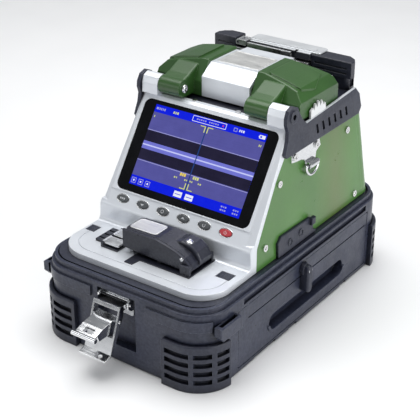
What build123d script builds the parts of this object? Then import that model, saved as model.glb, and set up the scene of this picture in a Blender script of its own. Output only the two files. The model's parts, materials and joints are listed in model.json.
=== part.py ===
from build123d import *
from math import atan2, cos, degrees, radians, sin
import os

# Fiber fusion splicer on its docking case.  Millimetres, +Z up, +X to the user's right, -Y towards the user.
# The origin is the centre of the case's underside.  Depths in this file are given from a datum line
# near the case's front face and turned into Y by the function fy().

# Driving dimensions: case
CASE_W = 166.0
CASE_D = 272.0
CASE_R = 28.0
CASE_TOP = 66.0
CASE_WALL = 3.5
DATUM = 2.0 - CASE_D / 2
CASE_FRONT = -2.0
CASE_BACK = CASE_FRONT + CASE_D
RIM_TOP = 70.0

# Driving dimensions: drawer
DRAWER_Y0, DRAWER_Y1 = 38.5, 240.0
DRAWER_Z0, DRAWER_Z1 = 4.0, 56.0
DRAWER_DEPTH = 118.0
DRAWER_GAP = 0.6

# Driving dimensions: upper body
BODY_HALF = 75.5
BODY_LEAN = 0.055
BODY_Z0 = 70.0
BODY_TOP = 171.0
BACK_Y0 = 257.0
BACK_LEAN = 0.175
SKIN = 2.5
TRIM_Z0, TRIM_Z1 = 150.8, 171.5

# Driving dimensions: screen and keys
SCREEN_TILT = 55.5
GLASS_W, GLASS_H, GLASS_R = 130.0, 78.2, 6.0
GLASS_T = 1.8
GLASS_Y, GLASS_Z = 75.4, 103.7
DECK_Y0, DECK_Z = 11.4, 75.0
STEP_Y, STEP_Z = 66.4, 90.8
KEY_PITCH, KEY_COUNT = 20.4, 6
KEY_W, KEY_H, KEY_TRAVEL = 11.0, 5.8, 0.8

# Driving dimensions: wind cover hinge and heater
HINGE_Y, HINGE_Z, HINGE_R = 126.0, 181.0, 8.0
COVER_TOP = 198.5
COVER_HALF = 69.6
CENTRE_HALF = 23.2
HEATER_Y0, HEATER_Y1 = 221.0, 236.0
HEATER_X0, HEATER_X1, HEATER_END = -46.0, 30.0, 68.4
LID_PIVOT_Y, LID_PIVOT_Z = 234.5, 189.0

FIT = 0.05

os.makedirs("parts", exist_ok=True)


def fy(depth):
    return DATUM + depth


def box(x0, x1, y0, y1, z0, z1):
    centre = Pos((x0 + x1) / 2, fy((y0 + y1) / 2), (z0 + z1) / 2)
    return centre * Box(abs(x1 - x0), abs(y1 - y0), abs(z1 - z0))


def rod(axis, x, y, z, r, length):
    turn = {"X": Rot(0, 90, 0), "Y": Rot(90, 0, 0), "Z": Rot(0, 0, 0)}[axis]
    return Pos(x, fy(y), z) * turn * Cylinder(r, length)


def slab(w, y0, y1, r, z0, z1, cx=0.0):
    sketch = Pos(cx, fy((y0 + y1) / 2), z0) * RectangleRounded(w, y1 - y0, r)
    return extrude(sketch, amount=z1 - z0)


def side_prism(points, x0, x1):
    outline = Polyline(*[(x0, fy(y), z) for y, z in points], close=True)
    return extrude(make_face(outline), amount=x1 - x0, dir=(1, 0, 0))


def front_prism(points, y0, y1):
    outline = Polyline(*[(x, fy(y0), z) for x, z in points], close=True)
    return extrude(make_face(outline), amount=y1 - y0, dir=(0, 1, 0))


def plan_prism(points, z0, z1):
    outline = Polyline(*[(x, fy(y), z0) for x, y in points], close=True)
    return extrude(make_face(outline), amount=z1 - z0, dir=(0, 0, 1))


def group(items):
    return Compound(children=list(items))


def both_sides(shape):
    return group([shape, mirror(shape, Plane.YZ)])


def edges_along(shape, direction, tolerance=0.97):
    want = Vector(*direction).normalized()
    return [e for e in shape.edges() if abs((e @ 1 - e @ 0).normalized().dot(want)) > tolerance]


def soften(shape, edges, radii):
    for radius in radii:
        try:
            return fillet(edges, radius)
        except Exception:
            continue
    return shape


def side_x(z):
    return BODY_HALF - (z - BODY_Z0) * BODY_LEAN


def back_y(z):
    return BACK_Y0 - (z - BODY_Z0) * BACK_LEAN


# Screen plane: local x to the right, local y up the slope, local z out of the glass
TILT_S, TILT_C = sin(radians(SCREEN_TILT)), cos(radians(SCREEN_TILT))
SCREEN = Plane(origin=(0, fy(GLASS_Y), GLASS_Z), x_dir=(1, 0, 0), z_dir=(0, -TILT_S, TILT_C))


def on_screen(sketch, x, up, out, thick):
    return extrude(SCREEN * Pos(x, up, out) * sketch, amount=-thick)


def slope_point(up, out=0.0):
    return (GLASS_Y + up * TILT_C - out * TILT_S, GLASS_Z + up * TILT_S + out * TILT_C)


# ---------------------------------------------------------------- case
def case_outline(grow, z0, z1):
    return slab(CASE_W + 2 * grow, CASE_FRONT - grow, CASE_BACK + grow, CASE_R + grow, z0, z1)


BUMPER_T = 4.0
BUMPER_TOP = 41.0
BUMPER_X, BUMPER_Y = 43.0, 24.0
SLOT_ROWS, SLOT_PITCH, SLOT_H, SLOT_SINK = 4, 7.6, 4.4, 3.3
SLOT_SPANS = ((46, 67), (70, 81))
LATCH_X0, LATCH_X1 = -21.0, 16.0
LATCH_Z0, LATCH_Z1 = 15.0, 62.0
LUG_Y0, LUG_Y1 = 9.0, 38.0
LUG_Z0, LUG_Z1 = 44.5, 57.0
LEDGE_X, LEDGE_Z0, LEDGE_Z1, LEDGE_T = 27.0, 52.0, 60.5, 1.6
FOOT_NOTCHES = ((62, 92), (112, 124), (196, 206))


def corner_zone(sx, front, x0, x1, reach, z0, z1):
    """Box over one corner of the case: x0..x1 out from the middle, reach deep from that end."""
    span = sorted((sx * x0, sx * x1))
    if front:
        return box(*span, -20, reach, z0, z1)
    return box(*span, CASE_BACK + CASE_FRONT - reach, CASE_BACK + 20, z0, z1)


def make_strap_lug(sx):
    """Shoulder lug on a front corner, with a pocket open at the top."""
    wall = CASE_W / 2
    x0, x1 = sorted((sx * (wall - 1), sx * (wall + 5.0)))
    outline = [(LUG_Y0, LUG_Z0 + 4.5), (LUG_Y0 + 4, LUG_Z0), (LUG_Y1, LUG_Z0)]
    outline += [(LUG_Y1, LUG_Z1 - 3), (LUG_Y1 - 3, LUG_Z1), (LUG_Y0, LUG_Z1)]
    lug = side_prism(outline, x0, x1)
    outer_face = lug.faces().sort_by(Axis.X)[-1 if sx > 0 else 0]
    lug = soften(lug, outer_face.edges(), (1.2, 0.8))
    pocket = sorted((sx * (wall + 0.1), sx * (wall + 3.4)))
    return lug - box(*pocket, LUG_Y0 + 3.5, LUG_Y1 - 5, LUG_Z0 + 4, LUG_Z1 + 1)


def make_case_shell():
    side = CASE_W / 2 - CASE_WALL
    body = case_outline(0, 0, CASE_TOP)
    body = soften(body, body.edges().group_by(Axis.Z)[0], (1.5, 1.0))
    body = soften(body, body.edges().group_by(Axis.Z)[-1], (1.2, 0.8))
    body -= slab(2 * side, CASE_FRONT + 12, CASE_BACK - CASE_WALL, CASE_R - CASE_WALL, CASE_WALL, CASE_TOP - 5)
    body -= box(side - 1, 100, DRAWER_Y0, DRAWER_Y1, DRAWER_Z0, DRAWER_Z1)
    body -= box(LATCH_X0, LATCH_X1, CASE_FRONT - 1, CASE_FRONT + 7, LATCH_Z0, LATCH_Z1)
    groove = case_outline(1, 58.5, 63.5) - case_outline(-2.2, 58, 64)
    body -= groove & (box(70, 100, 46, 236, 55, 70) + box(-100, -70, 46, 236, 55, 70))
    body += case_outline(-2.5, CASE_TOP, RIM_TOP) - case_outline(-5.0, CASE_TOP, RIM_TOP)
    ledge = case_outline(LEDGE_T, LEDGE_Z0, LEDGE_Z1) - case_outline(-1, LEDGE_Z0 - 1, LEDGE_Z1 + 1)
    for sx in (-1, 1):
        corner = box(*sorted((sx * LEDGE_X, sx * 100)), CASE_FRONT - 10, LUG_Y0 + 1, LEDGE_Z0, LEDGE_Z1)
        body += ledge & corner
        body += make_strap_lug(sx)
        for y0, y1 in FOOT_NOTCHES:
            body -= box(*sorted((sx * (CASE_W / 2 - 1.4), sx * 100)), y0, y1, -1, 3.2)
    for x in (-60, -20, 20, 60):
        body -= box(x - 6, x + 6, CASE_BACK - 1.2, CASE_BACK + 1, 4, 8)
    return body


def make_case_gasket():
    ring = slab(157, 4.5, 259, 24, CASE_TOP, BODY_Z0)
    ring -= slab(140, 20, 246, 12, CASE_TOP - 1, BODY_Z0 + 1)
    return ring & case_outline(-5.0, CASE_TOP, BODY_Z0)


def make_bumper(sx, front):
    shell = case_outline(BUMPER_T, 0, BUMPER_TOP) - case_outline(0, -1, BUMPER_TOP + 1)
    shell &= corner_zone(sx, front, BUMPER_X, 100, BUMPER_Y, 0, BUMPER_TOP)
    shell = soften(shell, shell.edges().group_by(Axis.Z)[-1], (1.4, 1.0))
    cutter = case_outline(BUMPER_T + 2, 0, 60) - case_outline(BUMPER_T - SLOT_SINK, -1, 61)
    side_y = sorted((11, 22)) if front else (CASE_BACK + CASE_FRONT - 22, CASE_BACK + CASE_FRONT - 11)
    side_x_range = sorted((sx * 81.5, sx * 100))
    for row in range(SLOT_ROWS):
        z0 = 7.2 + row * SLOT_PITCH
        band = cutter & box(-120, 120, -20, CASE_BACK + 20, z0, z0 + SLOT_H)
        for near, far in SLOT_SPANS:
            shell -= band & corner_zone(sx, front, near, far, 64, 0, 60)
        shell -= band & box(*side_x_range, *side_y, 0, 60)
    return shell


def make_drawer_tray():
    g = DRAWER_GAP
    x1 = CASE_W / 2
    front = box(x1 - 9, x1 - 0.2, DRAWER_Y0 + g, DRAWER_Y1 - g, DRAWER_Z0 + g, DRAWER_Z1 - g)
    front = soften(front, edges_along(front, (1, 0, 0)), (2, 1))
    tray = box(x1 - DRAWER_DEPTH, x1 - 8.9, DRAWER_Y0 + 4, DRAWER_Y1 - 4, DRAWER_Z0 + g, 44)
    tray -= box(x1 - DRAWER_DEPTH + 2, x1 - 9, DRAWER_Y0 + 6, DRAWER_Y1 - 6, DRAWER_Z0 + g + 2, 45)
    tray += front
    lip = Pos(x1 - 1, fy(PULL_Y), PULL_Z) * (Plane.YZ * SlotOverall(PULL_L + 5, PULL_H + 5))
    lip = extrude(lip, amount=2.0, dir=(1, 0, 0)) & box(0, 100, 0, 280, 0, PULL_Z - 1)
    tray += soften(lip, lip.faces().sort_by(Axis.X)[-1].edges(), (0.7, 0.4))
    pull = Pos(x1 - 8, fy(PULL_Y), PULL_Z) * (Plane.YZ * SlotOverall(PULL_L, PULL_H))
    tray -= extrude(pull, amount=12, dir=(1, 0, 0))
    tray -= box(x1 - 1.0, x1 + 1, DRAWER_Y0 + 14, DRAWER_Y1 - 4, 43.0, 44.2)
    tray -= rod("X", x1, CATCH_Y + 4, CATCH_Z + 8.5 - 5.2, 1.2, 3)
    return tray - rod("X", x1 - 5, CATCH_Y, CATCH_Z, 2.5 + FIT, 12)


CATCH_Y, CATCH_Z = 131.5, 50.0
PULL_Y, PULL_Z, PULL_L, PULL_H = 140.2, 21.9, 116.0, 13.8


def make_drawer_catch():
    x0 = CASE_W / 2 + 0.2
    blade = Pos(x0, fy(CATCH_Y), CATCH_Z - 8.0) * (Plane.YZ * SlotOverall(25, 7.4, rotation=90))
    blade = extrude(blade, amount=7.4, dir=(1, 0, 0))
    blade = soften(blade, blade.faces().sort_by(Axis.X)[-1].edges(), (2.0, 1.2))
    blade += rod("X", x0 + 1.5, CATCH_Y, CATCH_Z, 5.4, 3.0)
    hub = rod("X", x0 - 5.0, CATCH_Y, CATCH_Z, 2.5, 11.0)
    cam = box(x0 - 13.2, x0 - 9.7, CATCH_Y - 3.5, CATCH_Y + 9.5, CATCH_Z - 3.5, CATCH_Z + 3.5)
    return blade + hub + cam


# ---------------------------------------------------------------- upper body
def envelope(inset, z0=BODY_Z0, z1=BODY_TOP):
    wide = [(side_x(60) - inset, 60), (side_x(180) - inset, 180)]
    front = front_prism(wide + [(-x, z) for x, z in reversed(wide)], 0, 280)
    side = side_prism([(0, 60), (back_y(60) - inset, 60), (back_y(180) - inset, 180), (0, 180)], -90, 90)
    solid = front & side
    rear = [e for e in edges_along(solid, (0, 0, 1), 0.9) if (e @ 0.5).Y > fy(200)]
    solid = fillet(rear, 12 - inset)
    return solid & box(-100, 100, -5, 290, z0, z1)


BEZEL_WALL = 3.0
PAD_SEATS = ((-73.6, -64.0), (56.5, 69.5))
SEAM = [(73.5, BODY_Z0 + 0.5), (75.4, 89.6), (104.9, 136.4), (115.5, 149.0), (124.5, 168.0)]


def rear_seam_y(z):
    return back_y(z) - 15


def bezel_outline():
    lip_y, lip_z = slope_point(-1.2)
    top_y, top_z = slope_point(81.6)
    outline = [(DECK_Y0, BODY_Z0), (DECK_Y0, DECK_Z), (STEP_Y, DECK_Z), (STEP_Y, STEP_Z)]
    outline += [(lip_y + 0.7, lip_z - 0.5), (lip_y, lip_z), (top_y, top_z), (top_y + 2.5, BODY_TOP + 1.5)]
    return outline + [(129.0, BODY_TOP + 1.5), (129.0, 168.2)] + list(reversed(SEAM))


def slope_bevel(sx):
    """Wedge that bevels one long side of the sloping face."""
    wedge = [(sx * 68.0, 0), (sx * 90, 0), (sx * 90, -14), (sx * 76.5, -4.6)]
    corners = [SCREEN.from_local_coords(Vector(x, -16, out)) for x, out in wedge]
    run = extrude(make_face(Polyline(*corners, close=True)), amount=110, dir=(0, TILT_C, TILT_S))
    return run & box(-100, 100, 60, 140, STEP_Z + 3, 200)


def bezel_core():
    """The space inside the moulding, one wall in from its skin."""
    floor = DECK_Z - BEZEL_WALL
    inner = [(DECK_Y0 + BEZEL_WALL, BODY_Z0 - 1), (DECK_Y0 + BEZEL_WALL, floor), (STEP_Y + BEZEL_WALL, floor)]
    inner += [(STEP_Y + BEZEL_WALL, STEP_Z - 1), slope_point(-4, -BEZEL_WALL - 0.8)]
    inner += [slope_point(79.0, -BEZEL_WALL - 0.8), (124, 169.4), (130, 169.4), (130, 60)]
    core = side_prism(inner, -80, 80) & envelope(3.2, 60, 200)
    return core & slab(144.5, DECK_Y0 + BEZEL_WALL, 300, 23, 50, 200)


def deck_seats():
    """Shallow seats in the deck for the cleaver, the fiber holder and the two ribbed pads, and a joint line."""
    seats = plan_prism(CLEAVER_POCKET, DECK_Z - 1.5, DECK_Z + 5)
    seats += box(-53.8, -41.8, 35.2, 57.2, DECK_Z - 1.5, DECK_Z + 3)
    for x0, x1 in PAD_SEATS:
        seats += box(x0, x1, 45.0, 55.0, DECK_Z - 1.2, DECK_Z + 3)
    track = slab(137, 19.0, 120, 20, DECK_Z - 0.7, DECK_Z + 2)
    track -= slab(136, 19.5, 120, 19.5, DECK_Z - 1, DECK_Z + 3)
    return seats + (track & box(-90, 90, 10, STEP_Y - 14, 70, 80))


def make_bezel():
    solid = side_prism(bezel_outline(), -90, 90) & envelope(0, BODY_Z0, BODY_TOP + 2)
    solid &= slab(151.2, DECK_Y0, 300, 26, 60, 200)
    crease = [e for e in edges_along(solid, (1, 0, 0)) if abs((e @ 0.5).Y - fy(STEP_Y)) < 0.5]
    solid = soften(solid, crease, (4.5, 3, 2))
    solid = soften(solid, solid.edges().group_by(Axis.Z)[-1], (1.0, 0.6))
    lip = [e for e in solid.edges() if abs((e @ 0.5).Z - DECK_Z) < 0.05 and (e @ 0.5).Y < fy(60)]
    solid = soften(solid, lip, (1.6, 1.0))
    solid -= slope_bevel(-1)
    solid -= slope_bevel(1)
    solid -= bezel_core()
    solid -= on_screen(RectangleRounded(GLASS_W + 0.3, GLASS_H + 0.3, GLASS_R), 0, GLASS_H / 2, 2, 12)
    for k in range(KEY_COUNT):
        solid -= on_screen(Ellipse(KEY_W / 2 + 0.35, KEY_H / 2 + 0.35), key_x(k), KEY_UP, 3, 12)
    return solid - deck_seats()


KEY_UP = -7.2


def key_x(k):
    return (k - (KEY_COUNT - 1) / 2) * KEY_PITCH - 3.0


def make_button(k):
    cap = on_screen(Ellipse(KEY_W / 2, KEY_H / 2), key_x(k), KEY_UP, 0.6, 5.0)
    top = cap.faces().sort_by(Axis((0, 0, 0), (0, -TILT_S, TILT_C)))[-1]
    cap = soften(cap, top.edges(), (0.7, 0.4))
    cap += on_screen(Ellipse(KEY_W / 2 + 1.2, KEY_H / 2 + 1.2), key_x(k), KEY_UP, -4.0, 1.0)
    return cap


def make_keypad_board():
    board = on_screen(Rectangle(124, 9.0), -3, KEY_UP, -7.6, 1.6)
    for k in range(KEY_COUNT):
        board += on_screen(Rectangle(4, 4), key_x(k), KEY_UP, -6.6, 1.2)
    return board


def make_lcd_glass():
    return on_screen(RectangleRounded(GLASS_W, GLASS_H, GLASS_R - 0.15), 0, GLASS_H / 2, -0.3, GLASS_T)


def make_lcd_module():
    return on_screen(RectangleRounded(122, 74, 2), 0, GLASS_H / 2, -0.3 - GLASS_T, 5.0)


PORTS = ((119.0, 77.8), (135.4, 79.6))


def make_side_panel(sx):
    skin = envelope(0, BODY_Z0 + 0.5, 168) - envelope(SKIN, BODY_Z0, 172)
    outline = list(SEAM) + [(rear_seam_y(168), 168), (rear_seam_y(BODY_Z0 + 0.5), BODY_Z0 + 0.5)]
    panel = skin & side_prism(outline, *sorted((0, sx * 100)))
    if sx > 0:
        for y, z in PORTS:
            panel -= rod("X", side_x(z), y, z, 3.0, 12)
    return panel


def make_rear_panel():
    skin = envelope(0, BODY_Z0 + 0.5, 168) - envelope(SKIN, BODY_Z0, 172)
    z0, z1 = BODY_Z0 + 0.5, 168
    panel = skin & side_prism([(rear_seam_y(z0), z0), (290, z0), (290, z1), (rear_seam_y(z1), z1)], -100, 100)
    # ventilation slots and a recessed socket panel
    for k in range(7):
        panel -= box(-52 + k * 6, -49 + k * 6, 200, 290, 120, 150)
    lean = degrees(atan2(BACK_LEAN, 1))
    panel -= Pos(32, fy(back_y(109) + 1.0), 109) * Rot(lean, 0, 0) * Box(50, 3.6, 32)
    for x, w, h in ((18, 6, 4.2), (33, 4.5, 3.2), (45, 3.2, 3.0)):
        panel -= box(x - w, x + w, 200, 290, 109 - h, 109 + h)
    return panel


BOSS_R = 5.2
TRIM_T = 3.2
GROOVES, GROOVE_Y0, GROOVE_PITCH = 6, 160.0, 9.2


def trim_outline():
    """Arm up to the hinge, then the long rail back along the top of the body."""
    arm = [(115, TRIM_Z0), (113.2, 153.5), (117.3, 163.5), (118.4, 171), (116.2, 177)]
    arm += [(HINGE_Y - 9.6, HINGE_Z + 1), (HINGE_Y - 6.5, HINGE_Z + 6.5), (HINGE_Y, HINGE_Z + 8.6), (HINGE_Y + 6, HINGE_Z + 6)]
    rail = [(HINGE_Y + 9, HINGE_Z), (139, 175), (145, 169.8), (212, 173.8), (222.5, 174.6), (228.8, 168)]
    return arm + rail + [(232, 156), (228, TRIM_Z0)]


def make_side_trim(sx):
    across = sorted((sx * 60, sx * 90))
    skin = [(side_x(140) + TRIM_T, 140), (side_x(200) + TRIM_T, 200), (side_x(200), 200), (side_x(140), 140)]
    trim = side_prism(trim_outline(), *across) & front_prism([(sx * x, z) for x, z in skin], 60, 280)
    outer = [e for e in trim.edges() if abs((e @ 0.5).X) > side_x((e @ 0.5).Z) + 2.4]
    trim = soften(trim, outer, (1.0, 0.6))
    sink = [(1.6, 150), (8, 150), (8, 170), (1.6, 170)]
    grooves = front_prism([(sx * (side_x(z) + out), z) for out, z in sink], 100, 260)
    for k in range(GROOVES):
        y0 = GROOVE_Y0 + k * GROOVE_PITCH
        slash = [(y0, 156), (y0 + 3.4, 156), (y0 + 1.4, 164), (y0 - 2.0, 164)]
        trim -= side_prism(slash, *across) & grooves
    face_x = sx * (side_x(HINGE_Z) + TRIM_T)
    trim += rod("X", face_x, HINGE_Y, HINGE_Z, BOSS_R, 1.6)
    socket = Plane(origin=(face_x, fy(HINGE_Y), HINGE_Z), x_dir=(0, 1, 0), z_dir=(1, 0, 0))
    return trim - extrude(socket * RegularPolygon(BOSS_R / 2, 6), amount=1.8, both=True)


PANEL_SCREWS = [(213.4, 140.2), (226.5, 77.0), (108.3, 131.5), (86.0, 86.3)]


LEAN_DEG = degrees(atan2(BODY_LEAN, 1))


def side_screw(sx, y, z, lift, r, thick):
    turn = Rot(0, sx * (90 - LEAN_DEG), 0)
    place = Pos(sx * side_x(z), fy(y), z) * turn * Pos(0, 0, lift + thick / 2)
    socket = Pos(0, 0, thick / 2) * Cylinder(0.45 * r, 0.9 * thick)
    return place * (Cylinder(r, thick) - socket)


def make_panel_screws():
    screws = []
    for sx in (-1, 1):
        screws += [side_screw(sx, y, z, 0.02, 2.9, 1.3) for y, z in PANEL_SCREWS]
        screws += [side_screw(sx, y, z, BRACKET_T + 0.02, 3.0, 1.5) for y, z in BRACKET_SCREWS]
        screws.append(rod("Z", sx * 21, 126.6, BODY_TOP + 2.0, 2.2, 1.0))
    return group(screws)


def make_chassis():
    floor = slab(140, 30, 244, 8, BODY_Z0, BODY_Z0 + 1.8)
    frame = floor + box(-65, 65, 226, 228, BODY_Z0 + 1.8, 164)
    for x in (-64, 64):
        frame += box(x - 1, x + 1, 84, 232, BODY_Z0 + 1.8, 164)
    frame -= side_prism([(60, 76), (84, 92), (131, 165), (60, 170)], -80, 80)
    frame -= box(-80, 80, 100, 200, 118, 150)
    return frame & envelope(SKIN + 0.5, BODY_Z0, 165)


def make_top_deck():
    plate = envelope(SKIN + 0.3, 164.2, BODY_TOP - 0.2)
    plate &= box(-90, 90, 129.2, 260, 160, 180)
    plate -= box(-56, 56, 142, 192, 167.2, 180)
    plate -= box(-24, 24, 150, 184, 160, 180)
    return plate


# ---------------------------------------------------------------- trim pieces on the body
BRACKET_SCREWS = [(129.0, 146.6), (161.5, 146.2)]
BRACKET_T = 1.5
RING_Y, RING_Z, RING_R, RING_WIRE = 152.5, 133.5, 9.2, 1.2


def make_strap_bracket():
    outline = [(124.4, 143.2), (124.8, 150.4), (166.2, 150.4), (168.2, 143.4), (161.5, 140.6), (159.4, RING_Z)]
    outline += [(145.8, RING_Z), (143.6, 139.4), (138.6, 141.2), (131.0, 142.0)]
    band = [(side_x(120), 120), (side_x(160), 160)]
    band += [(side_x(160) + BRACKET_T, 160), (side_x(120) + BRACKET_T, 120)]
    plate = side_prism(outline, 60, 90) & front_prism(band, 100, 200)
    x = side_x(RING_Z) + 3.2
    loop = rod("Y", x, RING_Y, RING_Z, 3.0, 13.0) - rod("Y", x, RING_Y, RING_Z, 1.7, 15.0)
    return both_sides(plate + loop)


def make_d_ring(sx):
    x = sx * (side_x(RING_Z) + 3.2)
    ring = rod("Y", x, RING_Y, RING_Z, RING_WIRE, 2 * RING_R)
    bow = Pos(x, fy(RING_Y), RING_Z) * Rot(0, 90, 0) * Torus(RING_R, RING_WIRE)
    ring += bow & box(-100, 100, RING_Y - 20, RING_Y + 20, RING_Z - 20, RING_Z)
    for side in (-1, 1):
        ring += Pos(x, fy(RING_Y + side * RING_R), RING_Z) * Sphere(RING_WIRE)
    return ring


def make_port_cover():
    outline = [(101.5, 70.7), (101.5, 82.7), (106.5, 87.7), (150, 86.6), (154.5, 82.2), (154.5, 74.2)]
    outline += [(158.5, 72.7), (158.5, 70.7)]
    band = [(side_x(60) + 0.1, 60), (side_x(100) + 0.1, 100), (side_x(100) + 2.6, 100), (side_x(60) + 2.6, 60)]
    cover = side_prism(outline, 60, 90) & front_prism(band, 80, 180)
    outer = [e for e in cover.edges() if abs((e @ 0.5).X) > side_x((e @ 0.5).Z) + 2.2]
    cover = soften(cover, outer, (0.8, 0.5))
    for y, z in PORTS:
        ring_x = side_x(z) + 2.7
        cover += rod("X", ring_x, y, z, 3.4, 1.0) - rod("X", ring_x, y, z, 2.4, 2.0)
    knob = box(side_x(84) + 2.2, side_x(84) + 5.6, 148.4, 154.0, 80.6, 87.0)
    return cover + soften(knob, knob.faces().sort_by(Axis.X)[-1].edges(), (1.0, 0.6))


# ---------------------------------------------------------------- latch on the front of the case
LATCH_CX = -5.0
LEVER_HALF = 13.0
LEVER_Y, LEVER_Z = 0.5, 54.5
CLAW_Y, CLAW_Z = -10.5, 44.0


def make_latch_base():
    plate = box(LATCH_CX - 15.2, LATCH_CX + 15.2, 3.4, 5.0, 43, 60)
    plate = soften(plate, edges_along(plate, (0, 1, 0)), (2, 1))
    for sx in (-1, 1):
        x = LATCH_CX + sx * (LEVER_HALF + 1.4)
        plate += side_prism([(4, 49), (4, 60), (1, 60), (-2.6, 57), (-2.6, 52), (1, 49)], x - 0.8, x + 0.8)
        plate += rod("Y", LATCH_CX + sx * 7, 3.0, 46.6, 2.2, 1.2)
    return plate + rod("X", LATCH_CX, LEVER_Y, LEVER_Z, 1.5, 2 * LEVER_HALF + 6)


LEVER_OUTLINE = [(1.8, 56.6), (-9.6, 56.5), (-22.8, 20.6), (-29.6, 18.8), (-29.6, 17.3),
                 (-20.6, 18.9), (-6.8, 47.0), (-5.4, 52.2), (1.8, 52.2)]
LEVER_HOLLOW = [(-8.2, 55.0), (3.0, 55.0), (3.0, 45.0), (-12.0, 15.0), (-22.7, 15.5)]
LEVER_SHEET = 1.4


def make_latch_lever():
    x0, x1 = LATCH_CX - LEVER_HALF, LATCH_CX + LEVER_HALF
    lever = side_prism(LEVER_OUTLINE, x0, x1)
    lever -= side_prism(LEVER_HOLLOW, x0 + LEVER_SHEET, x1 - LEVER_SHEET)
    lever -= box(x0 + LEVER_SHEET, x1 - LEVER_SHEET, -22, -4, 33.0, 53.5)
    lever += rod("X", LATCH_CX, LEVER_Y, LEVER_Z, 2.6, 2 * LEVER_HALF)
    lever -= rod("X", LATCH_CX, LEVER_Y, LEVER_Z, 1.5 + FIT, 60)
    lever -= rod("Z", LATCH_CX + 6, -27.0, 18, 1.9, 8)
    return lever + rod("X", LATCH_CX, CLAW_Y, CLAW_Z, 1.2, 2 * LEVER_HALF + 2)


def make_latch_claw():
    half = 9.6
    x0, x1 = LATCH_CX - half, LATCH_CX + half
    sheet = [(-8.5, 47.2), (-26.5, 44.8), (-36.0, 41.8), (-36.0, 40.6), (-26.5, 43.6), (-8.5, 46.0)]
    claw = side_prism(sheet, x0, x1) - box(LATCH_CX - 4.6, LATCH_CX + 4.6, -33.5, -28, 35, 50)
    cheek = [(-8.0, 47.2), (-26.5, 44.8), (-33.0, 42.6), (-31.0, 36.6), (-20.0, 36.4), (-12.5, 40.6)]
    cheek += [(-8.0, 42.4)]
    for x in (x0, x1 - LEVER_SHEET):
        claw += side_prism(cheek, x, x + LEVER_SHEET)
    claw += rod("X", LATCH_CX, -37.0, 40.6, 1.9, 2 * half + 4)
    return claw - rod("X", LATCH_CX, CLAW_Y, CLAW_Z, 1.2 + FIT, 60)


def coil(x, y, z, r, wire, turns, pitch):
    return [Pos(x + k * pitch, fy(y), z) * Rot(0, 90, 0) * Torus(r, wire) for k in range(turns)]


def make_latch_springs():
    rings = []
    for x in (LATCH_CX - 7.5, LATCH_CX + 2.1):
        rings += coil(x, CLAW_Y, CLAW_Z, 1.5, 0.22, 7, 0.9)
    return group(rings)


# ---------------------------------------------------------------- cleaver
CLEAVER_POCKET = [(-13.0, 21.4), (-5.0, 21.4), (-4.0, 29.8), (43.4, 29.8), (43.4, 64.5), (-13.0, 64.5)]
CLEAVER_POCKET += [(-15, 50), (-19, 40), (-13, 34)]
ARM_PIVOT_X, ARM_PIVOT_Z = 38.0, 80.2
ARM_Y0, ARM_Y1 = 34.0, 60.4


WHEEL_Z = 82.0


def make_cleaver_base():
    plan = [(-12.8, 21.6), (-5.2, 21.6), (-4.2, 30.0), (43.2, 30.0), (43.2, 64.3), (-12.8, 64.3)]
    base = plan_prism(plan, DECK_Z - 1.5, DECK_Z + 0.6)
    base += box(-12, 29, 40, 54, DECK_Z + 0.5, DECK_Z + 3.4)
    for y in (40.2, 53.0):
        base += box(-2, 2, y, y + 0.8, DECK_Z + 3.0, 84.5)
    base -= rod("Y", 0.0, 47.0, WHEEL_Z, 1.0 + FIT, 60)
    for y in (31.4, 60.8):
        ear = side_prism([(y, DECK_Z), (y + 2.2, DECK_Z), (y + 2.2, 83.2), (y, 83.2)], 33.5, 42.6)
        base += ear
    base += rod("Y", ARM_PIVOT_X, 47.0, ARM_PIVOT_Z, 1.6, 32.2)
    return base + box(8, 12, 36, 39, DECK_Z + 0.5, DECK_Z + 2.2)


ARM_TOP = [(-24.5, 95.0), (8.5, 95.7), (17.7, 93.9), (28.0, 91.2), (35.5, 87.8), (40.5, 83.0), (42.4, 79.2)]
ARM_FOOT = [(41.0, 77.0), (39.5, 76.2), (33.0, 76.8), (8.0, 77.6), (-24.5, 79.4)]
ARM_HOOD = [(18.0, 88.0), (20.0, 93.6), (25.0, 94.8), (33.5, 93.8), (40.0, 89.6), (43.2, 83.6)]
ARM_HOOD += [(42.4, 79.2), (38.0, 84.0)]
ARM_WEB = [(-20, 81), (-20, 93.6), (8, 94.4), (28, 89.6), (38, 83), (38, 78.6)]
ARM_CAVITY = [(-21, 70), (-21, 88), (6, 89.5), (31, 84), (31, 70)]


def make_cleaver_arm():
    arm = front_prism(ARM_TOP + ARM_FOOT, ARM_Y0 + 2.8, ARM_Y1)
    arm = soften(arm, [e for e in edges_along(arm, (0, 0, 1)) if (e @ 0.5).X < -20], (4.5, 3))
    arm = soften(arm, [e for e in arm.edges() if (e @ 0.5).Z > 93 and (e @ 0.5).X < 10], (1.6, 0.8))
    cheek = front_prism(ARM_TOP + ARM_FOOT, ARM_Y0, ARM_Y0 + 2.4)
    cheek = soften(cheek, cheek.faces().sort_by(Axis.Y)[0].edges(), (0.9, 0.5))
    cheek = soften(cheek, [e for e in edges_along(cheek, (0, 0, 1)) if (e @ 0.5).X < -20], (2.0, 1.0))
    web = front_prism(ARM_WEB, ARM_Y0 + 2.0, ARM_Y0 + 3.4)
    hood = front_prism(ARM_HOOD, 44.6, ARM_Y1)
    hood = soften(hood, [e for e in hood.edges() if (e @ 0.5).Z > 84], (1.6, 1.0, 0.5))
    arm += cheek + web + hood
    arm -= front_prism(ARM_CAVITY, 38.0, 56.4)
    arm -= rod("Y", ARM_PIVOT_X, 47.0, ARM_PIVOT_Z, 1.6 + FIT, 40)
    return arm


def make_cleaver_wheel():
    return rod("Y", 0.0, 47.0, WHEEL_Z, 3.2, 1.6) + rod("Y", 0.0, 47.0, WHEEL_Z, 1.0, 14.4)


FLAP_X, FLAP_Z = -42.4, DECK_Z + 4.0


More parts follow.
